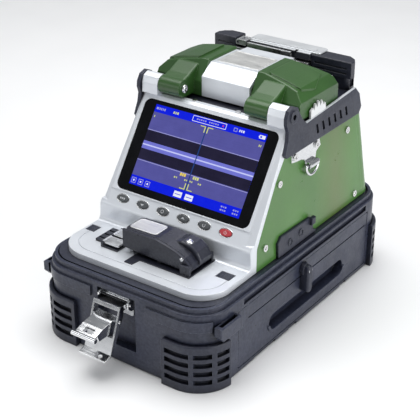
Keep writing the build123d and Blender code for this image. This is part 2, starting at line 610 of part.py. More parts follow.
def make_fiber_holder():
    plate = box(-53.6, -42.0, 35.4, 57.0, DECK_Z - 1.5, DECK_Z + 1.9)
    for y in (39.5, 45.6, 51.8):
        plate -= box(-53.0, -45.4, y - 0.9, y + 0.9, DECK_Z + 0.7, DECK_Z + 4)
    plate += box(-43.6, -27.0, 30.0, 56.2, DECK_Z, DECK_Z + 1.5)
    for y0, y1 in ((30.1, 31.1), (42.1, 43.5), (55.1, 56.1)):
        plate += box(FLAP_X - 1.2, FLAP_X + 1.2, y0, y1, DECK_Z + 1.0, FLAP_Z + 1.2)
    return plate + rod("Y", FLAP_X, 43.1, FLAP_Z, 0.7, 25.8)


def make_fiber_flap(y0, y1, x1):
    flap = box(FLAP_X, x1, y0, y1, FLAP_Z - 0.8, FLAP_Z + 0.8)
    flap = soften(flap, [e for e in edges_along(flap, (0, 0, 1)) if (e @ 0.5).X > FLAP_X + 1], (1.5, 0.8))
    flap += rod("Y", FLAP_X, (y0 + y1) / 2, FLAP_Z, 1.3, y1 - y0)
    return flap - rod("Y", FLAP_X, (y0 + y1) / 2, FLAP_Z, 0.7 + FIT, 30)


# ---------------------------------------------------------------- wind cover
def make_hinge_blocks():
    outline = [(HINGE_Y - 7.6, 172.6), (HINGE_Y - 7.6, HINGE_Z), (HINGE_Y - 5.6, 186.6), (HINGE_Y, HINGE_Z + 8)]
    outline += [(HINGE_Y + 5.6, 186.6), (HINGE_Y + 7.6, HINGE_Z), (HINGE_Y + 7.6, 171.0)]
    outline += [(HINGE_Y + 3.2, 171.0), (HINGE_Y + 3.2, 172.6)]
    block = side_prism(outline, 53.2, 68.8)
    block = soften(block, [e for e in edges_along(block, (1, 0, 0)) if (e @ 0.5).Z > 180], (3.0, 2.0, 1.0))
    block -= rod("X", 60, HINGE_Y, HINGE_Z, 2.5, 30)
    return both_sides(block)


def make_hinge_pins():
    return both_sides(rod("X", 49.0, HINGE_Y, HINGE_Z, 2.5, 34.0))


WING_FRONT, WING_BACK = 139.5, 198.0
WING_ARM = [(HINGE_Y, HINGE_Z - 7.4), (HINGE_Y, HINGE_Z + 7.4), (133.0, 190.6), (147.5, 197.4)]
WING_ARM += [(147.5, 184), (141.5, 173.6)]
WING_PLATEAU = [(33, 152), (43, 147), (64, 150), (67, 166), (60, 186), (34, 186)]


def wing_block(inset, floor):
    i = inset
    outline = [(WING_FRONT + i, floor), (WING_FRONT + i, 184.5 - i), (151 + 0.6 * i, 203 - i)]
    outline += [(187 - 0.6 * i, 203 - i), (WING_BACK - i, 190 - i), (WING_BACK - i, floor)]
    body = side_prism(outline, CENTRE_HALF + 0.2 + i * 0.6, COVER_HALF - i)
    roof = [(0, floor), (0, 201.5 - i), (30, 200.6 - i), (52, 196.5 - i), (63, 193.5 - i)]
    roof += [(COVER_HALF - i, 186.5 - i), (COVER_HALF - i, floor)]
    return body & front_prism(roof, 100, 230)


def make_cover_wing():
    wing = wing_block(0, 172.2)
    wing = soften(wing, [e for e in wing.edges() if (e @ 0.5).Z > 182], (1.6, 1.0, 0.6))
    wing -= wing_block(2.6, 170)
    roof = [(0, 190), (0, 203.0), (30, 202.1), (52, 198.0), (63, 195.0), (COVER_HALF, 188.0), (COVER_HALF, 185)]
    ends = [(145, 180), (152, 204.2), (186, 204.2), (192, 180)]
    raised = plan_prism(WING_PLATEAU, 190, 206) & front_prism(roof, 100, 230) & side_prism(ends, 20, 80)
    wing += raised - wing_block(2.6, 170)
    arm = side_prism(WING_ARM, 31.5, 52.6)
    arm = soften(arm, [e for e in arm.edges() if (e @ 0.5).Z > 187 and (e @ 0.5).Y > fy(127)], (1.6, 0.8))
    knuckle = rod("X", 42.05, HINGE_Y, HINGE_Z, 7.4, 21.1)
    wing += arm + knuckle
    wing -= rod("X", 45, HINGE_Y, HINGE_Z, 2.5 + FIT, 40)
    return wing


def make_wind_cover():
    wing = make_cover_wing()
    strap = [(144, 184), (150, 191.5), (156, 195.0), (186, 195.0)]
    strap += [(186, 192.5), (157, 192.5), (152, 189.6), (146, 183)]
    bridge = side_prism(strap, -CENTRE_HALF - 1.5, CENTRE_HALF + 1.5)
    return wing + mirror(wing, Plane.YZ) + bridge


def make_cover_centre():
    outline = [(138.8, 172.6), (138.8, 189.5), (151.5, COVER_TOP), (188.5, COVER_TOP), (192.5, 196.4)]
    outline += [(205.5, 195.6), (205.5, 193.0), (194, 193.6), (188, 195.4), (154, 195.4), (141.6, 187.6), (141.6, 172.6)]
    centre = side_prism(outline, -CENTRE_HALF, CENTRE_HALF)
    edges = [e for e in edges_along(centre, (1, 0, 0)) if (e @ 0.5).Z > 188.5]
    return soften(centre, edges, (0.8, 0.5))


# ---------------------------------------------------------------- splice stage
STAGE_Z = 167.2


def make_v_groove_block():
    block = box(-13, 13, 158, 176, 160.2, 176)
    block -= box(-3.0, 3.0, 150, 190, 170, 180)
    block -= box(-13.1, 13.1, 166.2, 167.8, 174.8, 180)
    return block


def make_electrodes():
    rods = []
    for s in (-1, 1):
        shaft = rod("Y", 0, 167 + s * 11.0, 174.4, 1.0, 16.0)
        tip = Pos(0, fy(167 + s * 2.0), 174.4) * Rot(s * 90, 0, 0) * Cone(1.0, 0.15, 2.0)
        rods.append(shaft + tip)
    return group(rods)


def make_electrode_holders():
    holders = []
    for s in (-1, 1):
        y0, y1 = sorted((167 + s * 12.5, 167 + s * 21.5))
        holder = box(-5, 5, y0, y1, STAGE_Z, 177.5) - rod("Y", 0, 167, 174.4, 1.0, 60)
        holders.append(holder + rod("Z", 0, 167 + s * 17.0, 178.2, 2.4, 1.6))
    return group(holders)


def make_v_groove_stage():
    return group([make_v_groove_block()] + list(make_fiber_clamp_base().solids()))


def make_fiber_clamp_base():
    base = box(26, 44, 158, 176, STAGE_Z, 173.2) - box(25, 45, 166.4, 167.6, 172.4, 175)
    base += box(40.5, 44, 176, 181, STAGE_Z, 178.0) + box(26, 29.5, 176, 181, STAGE_Z, 178.0)
    base += rod("X", 35, 178.5, 176.2, 1.2, 18)
    return both_sides(base)


CLAMP_Y, CLAMP_Z = 178.5, 176.2


def make_fiber_clamp(sx):
    x0, x1 = sorted((sx * 29.8, sx * 40.2))
    lid = box(x0, x1, 159, 178.5, 173.4, 178.0) + rod("X", sx * 35, CLAMP_Y, CLAMP_Z, 2.2, 10.4)
    lid -= rod("X", sx * 35, CLAMP_Y, CLAMP_Z, 1.2 + FIT, 40)
    lid += box(x0 + 2, x1 - 2, 157.4, 160, 175.2, 177.4)
    return lid


def make_fiber_guides():
    comb = [(152, 170.4), (152, 177), (155, 179), (156.6, 176.5), (158.8, 181.8), (161, 177.5)]
    comb += [(163.5, 182.8), (166, 177.5), (168.5, 181.5), (171, 177), (174, 178), (175, 171.8)]
    return both_sides(side_prism(comb, 70.6, 72.4))


def make_microscope_cameras():
    tubes = []
    for sx in (-1, 1):
        tube = Cylinder(6.5, 22) + Pos(0, 0, -14) * Box(15, 15, 7)
        tubes.append(Pos(sx * 16, fy(167), 146) * Rot(0, sx * 38, 0) * tube)
    return group(tubes)


def make_drive_motors():
    motors = []
    for sx in (-1, 1):
        motors.append(rod("X", sx * 45, 150, 152, 7.5, 24) + rod("X", sx * 30, 150, 152, 1.5, 8))
    return group(motors)


# ---------------------------------------------------------------- heater
BLOCK_Z0, BLOCK_Z1 = 181.5, 195.6
LID_X0, LID_X1 = -31.0, 14.0
STRIP_X0, STRIP_X1 = -33.0, 37.6
CLAMP_PIVOT_X, CLAMP_PIVOT_Z, CLAMP_L = -42.8, 192.6, 10.5
JAW_L, JAW_Y0, JAW_Y1, JAW_Z0 = 13.3, 219.2, 229.4, 190.4


def make_heater_block(x_in, x_out):
    side = 1 if x_out > 0 else -1
    plan = [(x_in, HEATER_Y0), (x_out, HEATER_Y0), (x_out, HEATER_Y1 - 9), (x_out - side * 3, HEATER_Y1 - 4)]
    plan += [(x_out - side * 9, HEATER_Y1), (x_in, HEATER_Y1)]
    block = plan_prism(plan, BLOCK_Z0, BLOCK_Z1)
    block = soften(block, block.faces().sort_by(Axis.Z)[-1].edges(), (1.0, 0.5))
    for z in (184.6, 188.8):
        block -= box(*sorted((x_in + side * 3, x_out - side * 4)), HEATER_Y0 - 1, HEATER_Y0 + 0.9, z, z + 1.4)
    foot = sorted((x_out - side * 20, x_out - side * 2.4))
    column = box(*foot, HEATER_Y0 + 1, HEATER_Y1 - 1, BODY_TOP - 0.2, BLOCK_Z0)
    column = soften(column, edges_along(column, (0, 0, 1)), (5, 3))
    notch = sorted((x_out - side * 4.4, x_out + side))
    column -= box(*notch, HEATER_Y0 + 4, HEATER_Y1 - 5, BODY_TOP + 2, BLOCK_Z0 - 2)
    return block + column


def make_heater_base():
    base = box(HEATER_X0, HEATER_X1, 218.8, HEATER_Y1, BODY_TOP - 0.2, 186)
    base -= box(HEATER_X0 - 1, HEATER_X1 + 1, 218.0, 229.6, 180, 190)
    base += make_heater_block(HEATER_X0, -HEATER_END) + make_heater_block(HEATER_X1, HEATER_END)
    base += rod("X", (HEATER_X0 + HEATER_X1) / 2, LID_PIVOT_Y, LID_PIVOT_Z, 1.5, HEATER_X1 - HEATER_X0 + 2)
    x = CLAMP_PIVOT_X
    base += box(x - 2.2, x + 2.2, 229.8, 231.4, 184, 194.2)
    return base + rod("Y", x, 224.6, CLAMP_PIVOT_Z, 1.1, 11)


def make_heater_plate():
    x0, x1 = HEATER_X0 + 0.3, HEATER_X1 - 0.3
    plate = box(x0, x1, 219.8, 229.4, 180, 182.5)
    plate += box(x0, x1, 216.4, 218.6, 172.0, 188.6) + box(-31.0, 12.2, 216.4, 218.6, 188.0, 195.0)
    return plate + box(x0, x1, 218.0, 220.4, 181.0, 182.5)


def make_heater_lid():
    lid = box(LID_X0, LID_X1, 220.6, 234.4, 187.4, 195.9)
    lid -= box(LID_X0 - 1, LID_X1 + 1, 220.0, 221.6, 188.8, 194.6)
    lid += rod("X", (LID_X0 + LID_X1) / 2, LID_PIVOT_Y, LID_PIVOT_Z, 2.6, LID_X1 - LID_X0)
    strip = slab(STRIP_X1 - STRIP_X0, 222.2, 237.6, 3.4, BLOCK_Z1 + 0.3, 197.2, cx=(STRIP_X0 + STRIP_X1) / 2)
    strip = soften(strip, strip.faces().sort_by(Axis.Z)[-1].edges(), (0.5, 0.3))
    strip += box(STRIP_X0 + 3, STRIP_X1 - 6, 223.0, 228.4, 197.0, 198.0)
    # the right-hand fiber jaw hangs under the strip, so it lifts with the lid
    jaw = box(HEATER_X1 - 0.5 - JAW_L, HEATER_X1 - 0.5, JAW_Y0, JAW_Y1, JAW_Z0, BLOCK_Z1 + 0.5)
    strip += soften(jaw, edges_along(jaw, (0, 1, 0)), (1.4, 0.8))
    return lid + strip - rod("X", 0, LID_PIVOT_Y, LID_PIVOT_Z, 1.5 + FIT, 180)


def make_heater_clamp():
    x0 = CLAMP_PIVOT_X - 1.9
    clamp = box(x0, x0 + CLAMP_L, JAW_Y0, JAW_Y1, JAW_Z0, 195.2)
    clamp = soften(clamp, edges_along(clamp, (0, 1, 0)), (1.4, 0.8))
    clamp -= box(x0 + 3.6, x0 + CLAMP_L - 2.4, 221.0, 227.6, 193.8, 196)
    return clamp - rod("Y", CLAMP_PIVOT_X, 224, CLAMP_PIVOT_Z, 1.1 + FIT, 20)


# ---------------------------------------------------------------- inside the body
BOARD_CHIPS = ((-30, 150, 18, 18, 2), (10, 140, 26, 26, 3), (35, 185, 14, 20, 6), (-35, 190, 30, 12, 9))


def make_main_board():
    board = box(-58, 58, 110, 220, 112, 113.6)
    for x, y, w, d, h in BOARD_CHIPS:
        board += box(x - w / 2, x + w / 2, y - d / 2, y + d / 2, 113.6, 113.6 + h)
    return board


def make_battery_pack():
    pack = box(-56, 25, 98, 224, 75.0, 99.0)
    return soften(pack, pack.edges(), (3, 2))


def make_arc_transformer():
    core = box(34, 60, 150, 190, 75, 98)
    return core + box(38, 56, 144, 196, 80, 93)


PARTS = {
    "case_shell": make_case_shell,
    "case_gasket": make_case_gasket,
    "bumper_front_left": lambda: make_bumper(-1, True),
    "bumper_front_right": lambda: make_bumper(1, True),
    "bumper_rear_left": lambda: make_bumper(-1, False),
    "bumper_rear_right": lambda: make_bumper(1, False),
    "drawer_tray": make_drawer_tray,
    "drawer_catch": make_drawer_catch,
    "latch_base": make_latch_base,
    "latch_lever": make_latch_lever,
    "latch_claw": make_latch_claw,
    "latch_springs": make_latch_springs,
    "chassis": make_chassis,
    "front_bezel": make_bezel,
    "side_panel_left": lambda: make_side_panel(-1),
    "side_panel_right": lambda: make_side_panel(1),
    "rear_panel": make_rear_panel,
    "side_trim_left": lambda: make_side_trim(-1),
    "side_trim_right": lambda: make_side_trim(1),
    "panel_screws": make_panel_screws,
    "top_deck": make_top_deck,
    "lcd_glass": make_lcd_glass,
    "lcd_module": make_lcd_module,
    "keypad_board": make_keypad_board,
    "port_cover": make_port_cover,
    "strap_brackets": make_strap_bracket,
    "v_groove_stage": make_v_groove_stage,
    "d_ring_left": lambda: make_d_ring(-1),
    "d_ring_right": lambda: make_d_ring(1),
    "cleaver_base": make_cleaver_base,
    "cleaver_arm": make_cleaver_arm,
    "cleaver_wheel": make_cleaver_wheel,
    "fiber_holder": make_fiber_holder,
    "fiber_flap_front": lambda: make_fiber_flap(31.4, 41.6, -27.0),
    "fiber_flap_rear": lambda: make_fiber_flap(44.0, 54.6, -29.0),
    "hinge_blocks": make_hinge_blocks,
    "hinge_pins": make_hinge_pins,
    "wind_cover": make_wind_cover,
    "cover_centre": make_cover_centre,
    "electrodes": make_electrodes,
    "electrode_holders": make_electrode_holders,
    "fiber_clamp_left": lambda: make_fiber_clamp(-1),
    "fiber_clamp_right": lambda: make_fiber_clamp(1),
    "fiber_guides": make_fiber_guides,
    "microscope_cameras": make_microscope_cameras,
    "drive_motors": make_drive_motors,
    "heater_base": make_heater_base,
    "heater_plate": make_heater_plate,
    "heater_lid": make_heater_lid,
    "heater_clamp": make_heater_clamp,
    "main_board": make_main_board,
    "battery_pack": make_battery_pack,
    "arc_transformer": make_arc_transformer,
}
for k in range(KEY_COUNT):
    PARTS[f"button_{k + 1}"] = lambda k=k: make_button(k)

for name, make in PARTS.items():
    export_step(make(), f"parts/{name}.step")
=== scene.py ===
"""Looks for the fiber fusion splicer: finishes, small fittings, the screen picture, lights and camera."""

import json
import math

import bmesh
import bpy
from mathutils import Matrix, Vector


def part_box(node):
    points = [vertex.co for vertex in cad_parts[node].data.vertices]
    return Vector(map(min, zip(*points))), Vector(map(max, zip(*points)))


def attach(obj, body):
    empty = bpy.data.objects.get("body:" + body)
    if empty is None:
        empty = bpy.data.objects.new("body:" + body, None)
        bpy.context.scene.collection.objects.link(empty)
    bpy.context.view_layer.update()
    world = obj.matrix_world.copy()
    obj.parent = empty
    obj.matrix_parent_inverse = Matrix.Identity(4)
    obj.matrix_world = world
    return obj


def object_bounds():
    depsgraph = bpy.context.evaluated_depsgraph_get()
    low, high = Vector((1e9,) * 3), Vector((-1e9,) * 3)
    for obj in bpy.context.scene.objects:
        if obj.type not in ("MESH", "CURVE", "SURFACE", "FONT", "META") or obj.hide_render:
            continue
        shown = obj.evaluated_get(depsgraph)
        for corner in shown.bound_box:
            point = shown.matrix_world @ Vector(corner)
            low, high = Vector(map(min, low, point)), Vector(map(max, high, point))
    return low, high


MM = 0.001
# Places taken over from the CAD part, in millimetres and degrees, and the steps of round outlines
DATUM_Y = -134.0
SIDE_HALF, SIDE_Z0, SIDE_LEAN = 75.5, 70.0, 0.055
COVER_AXIS_Y, COVER_AXIS_Z = -8.0, 181.0
CATCH_AXIS_Y, CATCH_AXIS_Z = -2.5, 50.0
DECK_SEAT_Z = 73.9
SCREEN_TILT = 55.5
KEY_PITCH, KEY_FIRST_X, KEY_UP = 20.4, -54.0, -7.2
KEY_W, KEY_H = 11.0, 5.8
CORNER_STEPS, RING_STEPS = 6, 32

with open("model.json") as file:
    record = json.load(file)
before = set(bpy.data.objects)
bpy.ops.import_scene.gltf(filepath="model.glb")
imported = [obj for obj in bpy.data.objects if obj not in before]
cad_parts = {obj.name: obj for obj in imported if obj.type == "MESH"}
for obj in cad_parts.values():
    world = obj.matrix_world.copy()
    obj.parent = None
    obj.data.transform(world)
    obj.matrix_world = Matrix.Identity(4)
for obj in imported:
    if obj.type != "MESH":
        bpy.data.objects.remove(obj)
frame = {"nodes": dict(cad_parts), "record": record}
cad_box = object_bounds()
NODES = frame["nodes"]


# ---------------------------------------------------------------- materials
class Net:
    """A node tree being built, with short calls for the nodes that the finishes share."""

    def __init__(self, name):
        self.material = bpy.data.materials.new(name)
        self.material.use_nodes = True
        self.nodes = self.material.node_tree.nodes
        self.links = self.material.node_tree.links
        self.nodes.clear()
        self.place = self.add("ShaderNodeTexCoord").outputs["Object"]

    def add(self, kind, **settings):
        node = self.nodes.new(kind)
        for key, value in settings.items():
            setattr(node, key, value)
        return node

    def feed(self, socket, value):
        if isinstance(value, bpy.types.NodeSocket):
            self.links.new(value, socket)
        else:
            socket.default_value = value

    def stretched(self, scale):
        node = self.add("ShaderNodeMapping")
        self.feed(node.inputs["Vector"], self.place)
        node.inputs["Scale"].default_value = scale
        return node.outputs["Vector"]

    def noise(self, scale, detail=3.0, roughness=0.55, place=None):
        node = self.add("ShaderNodeTexNoise")
        self.feed(node.inputs["Vector"], place or self.place)
        node.inputs["Scale"].default_value = scale
        node.inputs["Detail"].default_value = detail
        node.inputs["Roughness"].default_value = roughness
        return node.outputs["Fac"]

    def cells(self, scale):
        node = self.add("ShaderNodeTexVoronoi")
        self.feed(node.inputs["Vector"], self.place)
        node.inputs["Scale"].default_value = scale
        return node.outputs["Distance"]

    def span(self, value, lo, hi, out_lo=0.0, out_hi=1.0):
        node = self.add("ShaderNodeMapRange")
        self.feed(node.inputs["Value"], value)
        for key, number in zip(("From Min", "From Max", "To Min", "To Max"), (lo, hi, out_lo, out_hi)):
            node.inputs[key].default_value = number
        return node.outputs["Result"]

    def calc(self, operation, a, b=0.0):
        node = self.add("ShaderNodeMath", operation=operation)
        self.feed(node.inputs[0], a)
        self.feed(node.inputs[1], b)
        return node.outputs[0]

    def blend(self, amount, a, b):
        node = self.add("ShaderNodeMix", data_type="RGBA")
        self.feed(node.inputs["Factor"], amount)
        for socket, value in ((node.inputs[6], a), (node.inputs[7], b)):
            self.feed(socket, value if isinstance(value, bpy.types.NodeSocket) else (*value, 1.0))
        return node.outputs[2]

    def worn_and_highlit_edge(self, radius):
        """The rounded-edge normal, and a mask that is 1 on sharp edges, for edge wear and painted edge
        highlights.
        """
        soft = self.add("ShaderNodeBevel", samples=4)
        soft.inputs["Radius"].default_value = radius
        face = self.add("ShaderNodeNewGeometry").outputs["Normal"]
        dot = self.add("ShaderNodeVectorMath", operation="DOT_PRODUCT")
        self.feed(dot.inputs[0], soft.outputs["Normal"])
        self.feed(dot.inputs[1], face)
        return soft.outputs["Normal"], self.span(dot.outputs["Value"], 0.995, 0.86)

    def shaded(self, colour, distance=0.012, floor=0.25):
        """The colour, darker where another surface is close by: painted shade in recesses and between parts.
        """
        near = self.add("ShaderNodeAmbientOcclusion", samples=6)
        near.inputs["Distance"].default_value = distance
        open_sky = self.span(near.outputs["AO"], 0.25, 0.8)
        # painted shade: the colour blended towards black where the occlusion is strong
        painted_shade = self.blend(1.0 - floor, colour, (0.0, 0.0, 0.001))
        return self.blend(open_sky, painted_shade, colour)

    def within(self, axis, lo, hi, soft=0.0002):
        """1 between two places along an axis, 0 outside."""
        split = self.add("ShaderNodeSeparateXYZ")
        self.feed(split.inputs[0], self.place)
        value = split.outputs[axis]
        rise = self.span(value, lo - soft, lo + soft)
        return self.calc("MULTIPLY", rise, self.span(value, hi + soft, hi - soft))

    def finish(self, colour, roughness, height, depth, normal=None, **fixed):
        bump = self.add("ShaderNodeBump")
        bump.inputs["Distance"].default_value = depth
        self.feed(bump.inputs["Height"], height)
        if normal is not None:
            self.feed(bump.inputs["Normal"], normal)
        shader = self.add("ShaderNodeBsdfPrincipled")
        self.feed(shader.inputs["Base Color"], colour)
        self.feed(shader.inputs["Roughness"], roughness)
        self.feed(shader.inputs["Normal"], bump.outputs["Normal"])
        for key, value in fixed.items():
            self.feed(shader.inputs[key.replace("_", " ")], value)
        out = self.add("ShaderNodeOutputMaterial")
        self.feed(out.inputs["Surface"], shader.outputs["BSDF"])
        return self.material


def moulded(name, base, shade, edge, rough, grain=1500.0, depth=0.00004, spread=0.12, wear_and_highlight=0.6,
            radius=0.0007, shadow=0.3, **fixed):
    """Textured plastic or rubber: fine spark grain, slow tone changes, and smoother edges made paler by wear
    and a painted highlight.
    """
    net = Net(name)
    normal, sharp = net.worn_and_highlit_edge(radius)
    tone = net.span(net.noise(26.0, 4.0), 0.3, 0.7)
    dust = net.span(net.noise(420.0, 2.0), 0.35, 0.75)
    # paler sharp edges: partly wear, partly a painted highlight
    wear_and_highlight_mask = net.calc("MULTIPLY", sharp, net.span(net.noise(160.0, 3.0), 0.3, 0.7, 0.25 * wear_and_highlight, wear_and_highlight))
    colour = net.blend(tone, shade, base)
    colour = net.blend(net.calc("MULTIPLY", dust, 0.12), colour, edge)
    # painted shade: the colour is darkened where another surface is close by, in recesses and between parts
    colour = net.shaded(net.blend(wear_and_highlight_mask, colour, edge), floor=shadow)
    roughness = net.span(net.noise(75.0, 4.0), 0.25, 0.75, rough - spread, rough + spread)
    roughness = net.calc("SUBTRACT", roughness, net.calc("MULTIPLY", sharp, 0.1))
    grains = net.calc("ADD", net.noise(grain, 2.0), net.calc("MULTIPLY", net.cells(grain * 0.6), 0.5))
    return net.finish(colour, roughness, grains, depth, normal, **fixed)


def painted(name, base, shade, edge, rough, metal=0.0, flake=0.04, peel=0.00003, bare=(0.5, 0.5, 0.48),
            chip=0.35, reflection_band=None, radius=0.0008, **fixed):
    """Sprayed paint: flake sparkle, orange peel, a painted highlight on edges, a few small chips and an
    optional painted reflection band.
    """
    net = Net(name)
    normal, sharp = net.worn_and_highlit_edge(radius)
    colour = net.blend(net.span(net.noise(14.0, 3.0), 0.3, 0.7), shade, base)
    # painted reflection: an olive band across the paint along y, standing in for a studio reflection
    if reflection_band is not None:
        stretch = net.within(1, *reflection_band["span"], soft=0.018)
        reflection_patch = net.calc("MULTIPLY", stretch, net.span(net.noise(9.0, 2.0), 0.3, 0.7, 0.4, 1.0))
        colour = net.blend(reflection_patch, colour, reflection_band["colour"])
    colour = net.blend(net.span(net.noise(2600.0, 1.0), 0.35, 0.7, 0.0, flake), colour, edge)
    # painted highlight: every sharp edge blended halfway to the paler edge colour
    colour = net.blend(net.calc("MULTIPLY", sharp, 0.5), colour, edge)
    chips = net.calc("MULTIPLY", sharp, net.span(net.noise(330.0, 4.0, 0.7), 0.6, 0.68, 0.0, chip))
    colour = net.blend(chips, colour, bare)
    smear = net.span(net.noise(55.0, 5.0, 0.6), 0.3, 0.7, rough - 0.06, rough + 0.07)
    roughness = net.calc("ADD", smear, net.span(net.noise(900.0, 2.0), 0.3, 0.7, -0.03, 0.03))
    wave = net.calc("ADD", net.noise(700.0, 2.0), net.calc("MULTIPLY", net.noise(120.0, 2.0), 2.0))
    return net.finish(colour, roughness, wave, peel, normal, Metallic=metal, **fixed)


def metal(name, base, shade, rough, brush=(60.0, 1400.0, 1400.0), depth=0.000012, spread=0.07,
          radius=0.0004, **fixed):
    """Bare metal: brushing along one axis, handling marks in the gloss and a painted highlight on the edges.
    """
    net = Net(name)
    normal, sharp = net.worn_and_highlit_edge(radius)
    lines = net.noise(1.0, 4.0, 0.6, net.stretched(brush))
    colour = net.blend(net.span(lines, 0.3, 0.7), shade, base)
    colour = net.blend(net.span(net.noise(38.0, 4.0), 0.45, 0.8, 0.0, 0.35), colour, shade)
    # painted highlight: sharp edges blended to near white
    colour = net.blend(net.calc("MULTIPLY", sharp, 0.7), colour, (0.93, 0.93, 0.92))
    smear = net.span(net.noise(95.0, 5.0, 0.65), 0.3, 0.7, rough - spread, rough + spread)
    roughness = net.calc("MAXIMUM", net.calc("ADD", smear, net.span(lines, 0.3, 0.7, -0.04, 0.05)), 0.05)
    return net.finish(colour, roughness, lines, depth, normal, Metallic=1.0, **fixed)


def two_tone(name, dark, light, masks, rough_dark, rough_light, metal_light):
    """One moulding with a second finish inside a box given by its masks."""
    net = Net(name)
    normal, sharp = net.worn_and_highlit_edge(0.0006)
    mask = net.within(*masks[0])
    for limits in masks[1:]:
        mask = net.calc("MULTIPLY", mask, net.within(*limits))
    slow = net.span(net.noise(30.0, 4.0), 0.3, 0.7, 0.75, 1.0)
    dark_side = net.blend(slow, tuple(c * 0.6 for c in dark), dark)
    light_side = net.blend(slow, tuple(c * 0.85 for c in light), light)
    colour = net.blend(mask, dark_side, light_side)
    # edges blended to grey: partly wear, partly a painted highlight on the dark finish
    wear_and_highlight = net.calc("MULTIPLY", sharp, net.span(net.noise(150.0), 0.3, 0.7, 0.1, 0.4))
    colour = net.blend(wear_and_highlight, colour, (0.5, 0.52, 0.55))
    smear = net.span(net.noise(80.0, 4.0), 0.3, 0.7, -0.07, 0.07)
    roughness = net.calc("ADD", net.span(mask, 0.0, 1.0, rough_dark, rough_light), smear)
    brushed = net.noise(1.0, 3.0, 0.6, net.stretched((60.0, 1500.0, 1500.0)))
    fine = net.calc("ADD", net.noise(1300.0, 2.0), brushed)
    metallic = net.calc("MULTIPLY", mask, metal_light)
    return net.finish(colour, roughness, fine, 0.00003, normal, Metallic=metallic)


def glass_front(name):
    """Black cover glass with faint smudges."""
    net = Net(name)
    smudge = net.span(net.noise(60.0, 6.0, 0.7), 0.45, 0.8)
    colour = net.blend(smudge, (0.0025, 0.0027, 0.0035), (0.006, 0.006, 0.008))
    roughness = net.span(smudge, 0.0, 1.0, 0.04, 0.16)
    material = net.finish(colour, roughness, net.noise(40.0, 1.0), 0.000004)
    material.node_tree.nodes["Principled BSDF"].inputs["Specular IOR Level"].default_value = 0.18
    return material


def lit(name, colour, vary=0.12, scale=220.0, glow=1.0):
    """A lit part of the screen picture, with sensor noise and a fine row structure."""
    net = Net(name)
    grain = net.span(net.noise(scale, 4.0, 0.7), 0.25, 0.75, 0.0, 1.0)
    rows = net.noise(1.0, 1.0, 0.5, net.stretched((30.0, 2200.0, 2200.0)))
    dim = tuple(c * (1.0 - vary) for c in colour)
    bright = tuple(min(1.0, c * (1.0 + vary)) for c in colour)
    light = net.blend(net.calc("MULTIPLY", net.calc("ADD", grain, rows), 0.5), dim, bright)
    shader_colour = net.blend(grain, (0.002, 0.002, 0.003), (0.006, 0.006, 0.008))
    roughness = net.span(net.noise(60.0, 5.0, 0.7), 0.4, 0.8, 0.05, 0.14)
    material = net.finish(shader_colour, roughness, rows, 0.000002,
                          Emission_Strength=glow, Emission_Color=light)
    material.node_tree.nodes["Principled BSDF"].inputs["Specular IOR Level"].default_value = 0.12
    return material


BLACK = moulded("black_plastic", (0.022, 0.026, 0.054), (0.011, 0.014, 0.032), (0.22, 0.25, 0.33), 0.38,
                shadow=0.1)
RUBBER = moulded("black_rubber", (0.017, 0.020, 0.040), (0.009, 0.011, 0.026), (0.15, 0.17, 0.22), 0.44,
                 grain=1000.0, depth=0.00005, shadow=0.1)
DARK = moulded("dark_plastic", (0.018, 0.020, 0.034), (0.010, 0.011, 0.020), (0.15, 0.16, 0.20), 0.34,
               grain=1900.0, shadow=0.2)
WHITE = moulded("white_plastic", (0.84, 0.85, 0.85), (0.74, 0.76, 0.77), (0.92, 0.92, 0.92), 0.4,
                grain=2200.0, depth=0.00002)
SILVER = painted("silver_moulding", (0.79, 0.82, 0.86), (0.74, 0.77, 0.82), (0.94, 0.95, 0.96), 0.36,
                 metal=0.4, flake=0.06, bare=(0.6, 0.61, 0.62), chip=0.08)
GREEN = painted("green_paint", (0.078, 0.22, 0.040), (0.050, 0.155, 0.024), (0.22, 0.40, 0.14), 0.34,
                # painted reflection: an olive band across the green panels along y
                reflection_band={"span": (0.045, 0.075), "colour": (0.14, 0.15, 0.05)},
                Coat_Weight=0.25, Coat_Roughness=0.25)
COVER_GREEN = painted("cover_green_paint", (0.030, 0.100, 0.016), (0.018, 0.066, 0.010), (0.12, 0.27, 0.08),
                      0.36, Coat_Weight=0.25, Coat_Roughness=0.25)
POLISHED = metal("polished_steel", (0.86, 0.87, 0.88), (0.6, 0.61, 0.63), 0.14)
BRIGHT = metal("bright_steel", (0.84, 0.84, 0.84), (0.58, 0.58, 0.59), 0.24, brush=(900.0, 900.0, 900.0))
ALUMINIUM = metal("aluminium", (0.78, 0.79, 0.80), (0.58, 0.59, 0.61), 0.33, spread=0.1)
GLASS = glass_front("screen_glass")
KEY_GREY = moulded("button_grey", (0.075, 0.082, 0.088), (0.05, 0.055, 0.06), (0.25, 0.26, 0.27), 0.3,
                   grain=2400.0, depth=0.00002)
KEY_RED = moulded("button_red", (0.55, 0.03, 0.045), (0.42, 0.02, 0.03), (0.75, 0.2, 0.2), 0.3,
                  grain=2400.0, depth=0.00002)
BOARD = moulded("circuit_board", (0.03, 0.16, 0.08), (0.02, 0.1, 0.05), (0.35, 0.3, 0.12), 0.4, grain=700.0)

BY_SLOT = {
    "black_plastic": BLACK, "black_rubber": RUBBER, "dark_plastic": DARK, "white_plastic": WHITE,
    "silver_moulding": SILVER, "green_paint": GREEN, "polished_steel": POLISHED, "bright_steel": BRIGHT,
    "aluminium": ALUMINIUM, "screen_glass": GLASS, "button_grey": KEY_GREY, "button_red": KEY_RED,
    "circuit_board": BOARD,
}


def dress(node, material):
    slots = NODES[node].data.materials
    if len(slots) == 0:
        slots.append(material)
    for k in range(len(slots)):
        slots[k] = material


for part in frame["record"]["subparts"]:
    dress(part["node"], BY_SLOT[part["material_slot"]])

